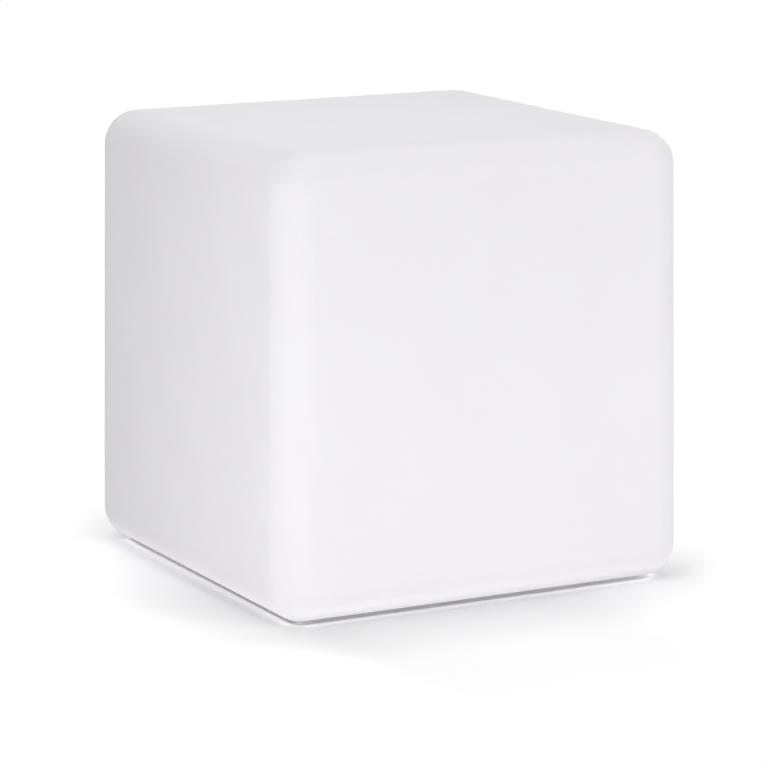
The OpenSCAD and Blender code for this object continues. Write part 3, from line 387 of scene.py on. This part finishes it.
# How the finish of each slot in the record is made
FINISHES = {
    "brass": lambda: bright_metal("brass", (0.72, 0.5, 0.22), roughness=0.32),
    "foot_rubber": foot_rubber,
    "seal_rubber": lambda: rubber("seal_rubber", (0.4, 0.41, 0.42), roughness=0.7),
    "cover": lambda: mottled(
        "cover_plastic", (0.62, 0.63, 0.635), roughness=0.5,
        blotch=12 * MM, tone=0.03, grain=0.7 * MM, depth=0.03 * MM),
    "stainless": lambda: bright_metal("stainless", (0.62, 0.61, 0.6), roughness=0.28),
    "black_rubber": lambda: rubber("black_rubber", (0.02, 0.02, 0.02)),
    "housing": lambda: mottled(
        "housing_plastic", (0.8, 0.8, 0.79), roughness=0.45,
        blotch=15 * MM, tone=0.02, grain=0.8 * MM, depth=0.02 * MM),
    "light_board": lambda: foil_board(
        "light_board", mask=(0.86, 0.86, 0.84), trace=(0.8, 0.8, 0.77), edge=(0.55, 0.5, 0.34)),
    "led_package": light_diode,
    "connector": lambda: mottled(
        "connector_nylon", (0.78, 0.74, 0.62), roughness=0.45,
        blotch=2 * MM, tone=0.04, grain=0.3 * MM, depth=0.008 * MM),
    "black_plastic": lambda: mottled(
        "black_plastic", (0.012, 0.012, 0.013), roughness=0.3,
        blotch=2 * MM, tone=0.3, grain=0.2 * MM, depth=0.004 * MM),
    "frosted": frosted_dome,
    "circuit_board": lambda: foil_board(
        "circuit_board",
        mask=(0.01, 0.09, 0.035), trace=(0.02, 0.17, 0.06), edge=(0.42, 0.36, 0.16)),
    "ferrite": lambda: mottled(
        "ferrite", (0.05, 0.05, 0.052), roughness=0.6,
        blotch=1 * MM, tone=0.3, grain=0.2 * MM, depth=0.02 * MM),
    "capacitor_can": lambda: bright_metal(
        "capacitor_can", (0.72, 0.73, 0.74), roughness=0.25, streak=(3.0, 3.0, 1.0)),
    "clear_rod": clear_rod,
    "cradle": lambda: mottled(
        "cradle_plastic", (0.02, 0.02, 0.022), roughness=0.5,
        blotch=6 * MM, tone=0.15, grain=0.6 * MM, depth=0.02 * MM),
    "cell_wrap": cell_wrap,
    "nickel": lambda: bright_metal("nickel", (0.6, 0.57, 0.53), streak=(12.0, 1.0, 1.0)),
    "foam": lambda: rubber("foam", (0.03, 0.03, 0.032), roughness=0.95, depth=0.2 * MM),
    "port_plastic": port_plastic,
    "contact_block": lambda: mottled(
        "contact_block", (0.09, 0.035, 0.015), roughness=0.5,
        blotch=2 * MM, tone=0.2, grain=0.3 * MM, depth=0.01 * MM),
    "contact_metal": lambda: bright_metal("contact_metal", (0.75, 0.58, 0.25)),
    "spring_steel": lambda: bright_metal("spring_steel", (0.5, 0.5, 0.5)),
    "button": lambda: mottled(
        "button_plastic", (0.8, 0.8, 0.79), roughness=0.36,
        blotch=3 * MM, tone=0.03, grain=0.4 * MM, depth=0.006 * MM),
    "flap": lambda: mottled(
        "flap_plastic", (0.06, 0.062, 0.065), roughness=0.55,
        blotch=4 * MM, tone=0.1, grain=0.4 * MM, depth=0.02 * MM),
    "red_wire": lambda: wire_jacket("red_wire", (0.45, 0.02, 0.015)),
    "black_wire": lambda: wire_jacket("black_wire", (0.012, 0.012, 0.012)),
    "white_wire": lambda: wire_jacket("white_wire", (0.75, 0.75, 0.72)),
    "blue_wire": lambda: wire_jacket("blue_wire", (0.02, 0.08, 0.32)),
}


def dress_nodes():
    """Gives every CAD node but the cube the finish of its slot in the record."""
    made = {}
    for subpart in frame["record"]["subparts"]:
        slot = subpart["material_slot"]
        if slot == "shell":
            continue
        if slot not in made:
            made[slot] = FINISHES[slot]().material
        node = frame["nodes"][subpart["node"]]
        node.data.materials.clear()
        node.data.materials.append(made[slot])


# How finely the cube is divided: along a straight side, round a quarter turn, and up a wall
SIDE_STEPS = 12
ARC_STEPS = 20
WALL_STEPS = 12
CIRCLE_STEPS = 144
SMALL_CIRCLE_STEPS = 40
SHARP_ANGLE = math.radians(30)
# How close points are before they count as one, and the rounding error that is allowed for
WELD = 1e-6
ROUNDING = 1e-7


def plan_stops():
    """Stops around the plan of the cube: a point of the square of corner centres, and a heading."""
    stops = []
    for quarter in range(4):
        turn = quarter * math.pi / 2
        cos, sin = round(math.cos(turn)), round(math.sin(turn))
        for step in range(SIDE_STEPS):
            along = 2 * step / SIDE_STEPS - 1
            stops.append((cos - sin * along, sin + cos * along, turn))
        for step in range(ARC_STEPS):
            stops.append((cos - sin, sin + cos, turn + math.pi / 2 * step / ARC_STEPS))
    return stops


def skin_ring(half, centre_z, radius, rise):
    """One ring around the cube, whose normals rise by rise(tilt) where the side leans by tilt."""
    ring = []
    for x, y, heading in plan_stops():
        lean = abs(math.cos(heading)) + abs(math.sin(heading))
        elevation = rise(math.atan(math.tan(SIDE_DRAFT) * lean))
        flat = math.cos(elevation)
        normal = Vector((flat * math.cos(heading), flat * math.sin(heading), math.sin(elevation)))
        ring.append((Vector((x * half, y * half, centre_z)) + radius * normal, normal))
    return ring


def skin_rings(inset):
    """Rings from the edge of the flat base, over rounded edges and walls, to the flat top."""
    radius = EDGE_R - inset
    quarter = math.pi / 2
    low_z, high_z = base_z + EDGE_R, top_z - EDGE_R
    low, high = [], []
    for step in range(ARC_STEPS + 1):
        share = step / ARC_STEPS
        low.append(skin_ring(
            low_half, low_z, radius, lambda tilt: -quarter + (quarter + tilt) * share))
        high.append(skin_ring(
            high_half, high_z, radius, lambda tilt: tilt + (quarter - tilt) * share))
    walls = []
    for step in range(1, WALL_STEPS):
        share = step / WALL_STEPS
        walls.append([(a.lerp(b, share), normal) for (a, normal), (b, _) in zip(low[-1], high[0])])
    return low + walls + high


def circle(centre, radius, steps):
    return [
        Vector((centre[0] + radius * math.cos(turn), centre[1] + radius * math.sin(turn)))
        for turn in (2 * math.pi * step / steps for step in range(steps))
    ]


def square(half):
    """The edge of a flat top or base, with a point at each stop of the skin."""
    quarter = math.pi / 2
    stops = [(x, y) for x, y, heading in plan_stops() if heading % quarter < ROUNDING]
    return [Vector((x * half, y * half)) for x, y in stops]


class Moulding:
    """Builds one closed mesh, whose skin keeps the exact normals of the surface that it follows."""

    def __init__(self):
        self.mesh = bmesh.new()
        self.exact = self.mesh.verts.layers.float_vector.new("exact_normal")
        self.skin = self.mesh.faces.layers.int.new("skin")

    def vert(self, point, normal=(0, 0, 0)):
        made = self.mesh.verts.new(point)
        made[self.exact] = normal
        return made

    def face(self, corners, skin=0):
        made = self.mesh.faces.new(corners)
        made[self.skin] = skin
        made.smooth = True

    def add_skin(self, rings, side):
        """Side is 1 for an outside, and -1 for an inside, whose normals point the other way."""
        rows = [[self.vert(point, normal * side) for point, normal in ring] for ring in rings]
        for low, high in zip(rows, rows[1:]):
            for i in range(len(low)):
                j = (i + 1) % len(low)
                self.face((low[i], low[j], high[j], high[i]), skin=1)

    def add_top(self, half, z, side):
        """The flat top: a grid whose edge meets the skin."""
        steps = range(SIDE_STEPS + 1)
        places = [half * (2 * step / SIDE_STEPS - 1) for step in steps]
        grid = [[self.vert((x, y, z), (0, 0, side)) for x in places] for y in places]
        for i in range(SIDE_STEPS):
            for j in range(SIDE_STEPS):
                self.face((grid[i][j], grid[i][j + 1], grid[i + 1][j + 1], grid[i + 1][j]), skin=1)

    def add_flat(self, outline, holes, z):
        """A flat face at z inside an outline, around holes that are given as circles."""
        loops = [outline] + [circle(*hole) for hole in holes]
        points, edges = [], []
        for loop in loops:
            first = len(points)
            points += loop
            edges += [(first + i, first + (i + 1) % len(loop)) for i in range(len(loop))]
        flat, _, triangles, _, _, _ = delaunay_2d_cdt(points, edges, [], 1, ROUNDING)
        verts = [self.vert((*point, z)) for point in flat]
        for triangle in triangles:
            middle = sum((flat[i] for i in triangle), Vector((0, 0))) / 3
            in_hole = any(
                (middle - Vector(centre)).length <= radius * math.cos(math.pi / steps)
                for centre, radius, steps in holes)
            if not in_hole:
                self.face([verts[i] for i in triangle])

    def add_tube(self, centre, rims, steps):
        """A round wall through rims, each of which is a radius and a level."""
        rows = []
        for radius, z in rims:
            rows.append([self.vert((*point, z)) for point in circle(centre, radius, steps)])
        for low, high in zip(rows, rows[1:]):
            for i in range(steps):
                j = (i + 1) % steps
                self.face((low[i], low[j], high[j], high[i]))

    def add_pocket(self, centre, radius, low_z, high_z):
        """A blind hole or a boss: a round wall with a flat end at high_z."""
        self.add_tube(centre, [(radius, low_z), (radius, high_z)], SMALL_CIRCLE_STEPS)
        end = circle(centre, radius, SMALL_CIRCLE_STEPS)
        self.face([self.vert((*point, high_z)) for point in end])

    def finish(self, name):
        bmesh.ops.remove_doubles(self.mesh, verts=self.mesh.verts, dist=WELD)
        bmesh.ops.dissolve_degenerate(self.mesh, edges=self.mesh.edges, dist=ROUNDING)
        bmesh.ops.recalc_face_normals(self.mesh, faces=self.mesh.faces)
        for edge in self.mesh.edges:
            edge.smooth = edge.calc_face_angle(0) < SHARP_ANGLE
        exact = [vert[self.exact].copy() for vert in self.mesh.verts]
        skin = [face[self.skin] for face in self.mesh.faces]
        data = bpy.data.meshes.new(name)
        self.mesh.to_mesh(data)
        self.mesh.free()
        normals = [Vector(corner.vector) for corner in data.corner_normals]
        for polygon in data.polygons:
            if skin[polygon.index]:
                for loop in polygon.loop_indices:
                    normals[loop] = exact[data.loops[loop].vertex_index]
        data.normals_split_custom_set(normals)
        made = bpy.data.objects.new(name, data)
        bpy.context.scene.collection.objects.link(made)
        return made


def make_cube():
    """The moulded cube: outside, recess with land and bosses, and inside, as one closed skin."""
    cube = Moulding()
    middle = (0, 0)
    feet = [(sx * foot_xy, sy * foot_xy) for sx in (-1, 1) for sy in (-1, 1)]
    turns = [2 * math.pi * i / INSERT_COUNT for i in range(INSERT_COUNT)]
    inserts = [(insert_place_r * math.cos(turn), insert_place_r * math.sin(turn)) for turn in turns]
    lip_r = recess_r + RECESS_CHAMFER
    small = SMALL_CIRCLE_STEPS

    cube.add_skin(skin_rings(0), 1)
    cube.add_top(high_half, top_z, 1)
    lip = (middle, lip_r, CIRCLE_STEPS)
    cube.add_flat(square(low_half), [lip] + [(foot, FOOT_R, small) for foot in feet], base_z)
    for foot in feet:
        cube.add_pocket(foot, FOOT_R, base_z, foot_high.z)

    wall_rims = [(lip_r, base_z), (recess_r, base_z + RECESS_CHAMFER), (recess_r, land_z)]
    mouth = (middle, mouth_r, CIRCLE_STEPS)
    cube.add_tube(middle, wall_rims, CIRCLE_STEPS)
    land = circle(middle, recess_r, CIRCLE_STEPS)
    cube.add_flat(land, [mouth] + [(place, INSERT_R, small) for place in inserts], land_z)
    cube.add_tube(middle, [(mouth_r, land_z), (mouth_r, land_top)], CIRCLE_STEPS)
    cup = circle(middle, cup_r, CIRCLE_STEPS)
    cube.add_flat(cup, [mouth] + [(place, boss_r, small) for place in inserts], land_top)
    for place in inserts:
        cube.add_pocket(place, INSERT_R, land_z, insert_high.z)
        cube.add_pocket(place, boss_r, land_top, boss_top)
    cube.add_tube(middle, [(cup_r, base_z + WALL), (cup_r, land_top)], CIRCLE_STEPS)

    cube.add_flat(square(low_half), [(middle, cup_r, CIRCLE_STEPS)], base_z + WALL)
    cube.add_skin(skin_rings(WALL), -1)
    cube.add_top(high_half, top_z - WALL, -1)

    made = cube.finish("moulded_cube")
    made.data.materials.append(moulded_shell().material)
    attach(made, "light")
    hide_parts("shell")
    return made


def make_spring():
    """The button's return spring: a copy of its CAD mesh, with a mesh of its own, in place of the
    CAD node.
    """
    node = frame["nodes"]["switch_spring"]
    made = bpy.data.objects.new("return_spring", node.data.copy())
    bpy.context.scene.collection.objects.link(made)
    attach(made, "light")
    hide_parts("switch_spring")
    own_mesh(made)


FLOOR_SIZE = 14.0
FLOOR_COLOUR = 0.9

# How bright the camera sees the floor, where 1 is the paper's own colour. This is painted light
# and shade by place: the gains lighten the cube's own shadow on the floor and so paint its shape.
# To TONE_BESIDE is added a gain that comes in from a start to an end, in metres: outwards from the
# cube, along y, along x, along -x, and beyond the cube along x
TONE_BESIDE = 1.04
TONE_OUT = (0.26, 0.0, 0.13)
TONE_BACK = (0.47, -0.1, 0.2)
TONE_RIGHT = (0.3, 0.05, 0.2)
TONE_LEFT = (0.2, 0.15, 0.22)
TONE_FAR_RIGHT = (0.16, 0.19, 0.26)
# The same inwards under the rounded bottom edge: a painted lighter rim, a painted dark contact
# shadow and painted light over its middle, and what is added to rim and shadow behind SIDES_FROM,
# so not along the front edge
PAINTED_RIM_LIGHT = (0.6, 0.008, 0.02)
PAINTED_CONTACT_SHADOW = (-0.6, 0.0195, 0.024)
PAINTED_CORE_LIGHT = (1.1, 0.026, 0.029)
PAINTED_SIDE_RIM_LIGHT = (0.38, 0.012, 0.0215)
PAINTED_SIDE_CONTACT_SHADOW = (-0.33, 0.0205, 0.0235)
SIDES_FROM = -190 * MM
# Where it turns into plain white, by the distance from the cube
WHITE_FROM = 140 * MM
WHITE_AT = 340 * MM
WORLD_LEVEL = 0.3


def floor_paper():
    """White paper: it keeps the shadow, though painted light graded by place lightens it and a dark
    contact shadow is painted under the edge; it is seen as white further out, and is clear from
    below.

    Under the cube it also lets light through to the base, but never on to the paper itself.
    """
    paper = bpy.data.materials.new("floor_paper")
    paper.use_nodes = True
    made = Tree(paper.node_tree)
    made.nodes.clear()
    place = made.node("ShaderNodeSeparateXYZ")
    made.plug(made.node("ShaderNodeTexCoord").outputs["Object"], place.inputs[0])
    x, y = place.outputs[0], place.outputs[1]
    past = []
    for along in (x, y):
        beyond = made.math("SUBTRACT", made.math("ABSOLUTE", along), low_half)
        past.append(made.math("MAXIMUM", beyond, 0.0))
    outside = made.math("SUBTRACT", made.length(*past), EDGE_R)
    distance = made.math("MAXIMUM", outside, 0.0)
    under = made.math("MULTIPLY", outside, -1.0)
    edge = made.math("SUBTRACT", EDGE_R, made.math("ADD", *past))
    sides = made.math("MINIMUM", edge, made.math("SUBTRACT", y, SIDES_FROM))
    left = made.math("MULTIPLY", x, -1.0)
    seen = made.seen_directly()

    ramps = [
        (distance, TONE_OUT),
        (y, TONE_BACK),
        (x, TONE_RIGHT),
        (left, TONE_LEFT),
        (x, TONE_FAR_RIGHT),
        (edge, PAINTED_RIM_LIGHT),
        (under, PAINTED_CONTACT_SHADOW),
        (under, PAINTED_CORE_LIGHT),
        (sides, PAINTED_SIDE_RIM_LIGHT),
        (sides, PAINTED_SIDE_CONTACT_SHADOW),
    ]
    # Painted light and shade on the floor as the camera sees it: the ramps lighten the shadow by
    # place and paint a dark contact shadow under the edge
    painted_lift = TONE_BESIDE - 1
    for value, (gain, start, end) in ramps:
        painted_lift = made.math("ADD", painted_lift, made.spread(value, 0.0, gain, start, end, smooth=True))
    brightness = made.math("ADD", made.math("MULTIPLY", painted_lift, seen), 1.0)
    tone = made.math("MULTIPLY", brightness, FLOOR_COLOUR)
    diffuse = made.node("ShaderNodeBsdfDiffuse")
    made.plug(tone, diffuse.inputs["Color"])
    white = made.node("ShaderNodeEmission")
    far = made.spread(distance, 0.0, 1.0, WHITE_FROM, WHITE_AT, smooth=True)
    bare = made.math("MULTIPLY", seen, far)
    above = made.node("ShaderNodeMixShader")
    made.plug(bare, above.inputs[0])
    made.plug(diffuse.outputs[0], above.inputs[1])
    made.plug(white.outputs[0], above.inputs[2])

    depth = made.node("ShaderNodeLightPath").outputs["Ray Depth"]
    first_bounce = made.math("COMPARE", depth, 1.0, 0.5)
    window = made.math("MULTIPLY", first_bounce, made.math("GREATER_THAN", under, 0.0))
    from_below = made.node("ShaderNodeNewGeometry").outputs["Backfacing"]
    clear = made.math("MAXIMUM", from_below, window)
    either = made.node("ShaderNodeMixShader")
    made.plug(clear, either.inputs[0])
    made.plug(above.outputs[0], either.inputs[1])
    made.plug(made.node("ShaderNodeBsdfTransparent").outputs[0], either.inputs[2])
    made.plug(either.outputs[0], made.node("ShaderNodeOutputMaterial").inputs["Surface"])
    return paper


def make_floor():
    half = FLOOR_SIZE / 2
    corners = [(-half, -half, 0), (half, -half, 0), (half, half, 0), (-half, half, 0)]
    data = bpy.data.meshes.new("floor")
    data.from_pydata(corners, [], [(0, 1, 2, 3)])
    data.materials.append(floor_paper())
    floor = bpy.data.objects.new("floor", data)
    bpy.context.scene.collection.objects.link(floor)


def make_world():
    """An even white surround that lights the object at WORLD_LEVEL and is seen as plain white."""
    world = bpy.data.worlds.new("studio")
    world.use_nodes = True
    bpy.context.scene.world = world
    made = Tree(world.node_tree)
    background = made.nodes["Background"]
    background.inputs["Color"].default_value = (1, 1, 1, 1)
    level = made.spread(made.seen_directly(), WORLD_LEVEL, 1.0, 0.0, 1.0)
    made.plug(level, background.inputs["Strength"])


# Soft boxes: name, place, width, height, and power in watts. Each faces the middle of the cube.
SOFT_BOXES = [
    ("right_front_box", (1.16, -2.01, 0.85), 1.2, 1.2, 15.2),
    ("right_box", (2.01, -1.16, 0.82), 1.2, 1.2, 3.8),
    ("left_front_high_box", (-1.47, -0.85, 1.9), 1.2, 1.2, 8.2),
    ("back_box", (0.0, 1.54, 2.04), 1.2, 1.2, 2.6),
    ("back_low_box", (0.9, 1.3, 0.21), 1.2, 0.38, 5.0),
    ("left_near_box", (-1.0, -0.5, 0.25), 0.5, 0.5, 2.35),
    ("left_low_box", (-1.1, -0.1, 0.16), 0.3, 0.3, 0.22),
    ("above_near_box", (0.0, 0.0, 1.2), 0.7, 0.7, 2.6),
    ("low_front_strip", (-0.7, -0.75, 0.07), 0.6, 0.12, 0.35),
    ("near_front_strip", (0.05, -0.6, 0.05), 0.8, 0.08, 0.2),
    ("under_box", (0.0, 0.0, -0.9), 0.9, 0.9, 5.0),
]
# A dark card that only reflections show: it takes the shine off the left edge
CARD = [(-0.75, 0.1, 0.0), (-0.75, 1.2, 0.0), (-0.75, 1.2, 0.7), (-0.75, 0.1, 0.7)]
CARD_COLOUR = (0.02, 0.02, 0.02)


def make_lamps():
    aim = Vector((0, 0, top_z / 2))
    for name, place, width, height, power in SOFT_BOXES:
        light = bpy.data.lights.new(name, "AREA")
        light.shape = "RECTANGLE"
        light.size = width
        light.size_y = height
        light.energy = power
        lamp = bpy.data.objects.new(name, light)
        lamp.location = place
        lamp.rotation_mode = "QUATERNION"
        lamp.rotation_quaternion = (Vector(place) - aim).to_track_quat("Z", "Y")
        lamp.visible_camera = False
        bpy.context.scene.collection.objects.link(lamp)


def make_card():
    black = bpy.data.materials.new("black_card")
    black.use_nodes = True
    shader = black.node_tree.nodes["Principled BSDF"]
    shader.inputs["Base Color"].default_value = (*CARD_COLOUR, 1)
    shader.inputs["Specular IOR Level"].default_value = 0.0
    data = bpy.data.meshes.new("dark_card")
    data.from_pydata(CARD, [], [(0, 1, 2, 3)])
    data.materials.append(black)
    card = bpy.data.objects.new("dark_card", data)
    bpy.context.scene.collection.objects.link(card)
    for rays in ("camera", "diffuse", "transmission", "shadow"):
        setattr(card, "visible_" + rays, False)


# The camera of the photograph, from a fit to the outline of the cube
AZIMUTH = math.radians(-27.86)
ELEVATION = math.radians(11.38)
DISTANCE = 3.2055
LOOK_RIGHT = 0.7 * MM
LOOK_UP = -39.1 * MM
SENSOR = 36.0
FOCAL_PIXELS = 3551.2
IMAGE_PIXELS = 768
NEAREST = 0.05
FURTHEST = 100


def make_camera():
    back = Vector((
        math.sin(AZIMUTH) * math.cos(ELEVATION),
        -math.cos(AZIMUTH) * math.cos(ELEVATION),
        math.sin(ELEVATION),
    ))
    right = Vector((math.cos(AZIMUTH), math.sin(AZIMUTH), 0))
    up = back.cross(right)
    data = bpy.data.cameras.new("camera")
    data.sensor_width = SENSOR
    data.lens = SENSOR * FOCAL_PIXELS / IMAGE_PIXELS
    data.clip_start = NEAREST
    data.clip_end = FURTHEST
    camera = bpy.data.objects.new("camera", data)
    centre = Vector((0, 0, top_z / 2))
    camera.location = centre + LOOK_RIGHT * right + LOOK_UP * up + DISTANCE * back
    camera.rotation_mode = "QUATERNION"
    camera.rotation_quaternion = back.to_track_quat("Z", "Y")
    bpy.context.scene.collection.objects.link(camera)
    bpy.context.scene.camera = camera


make_camera()
dress_nodes()
make_cube()
make_spring()
make_floor()
make_world()
make_lamps()
make_card()
bpy.context.scene.view_settings.view_transform = "Standard"
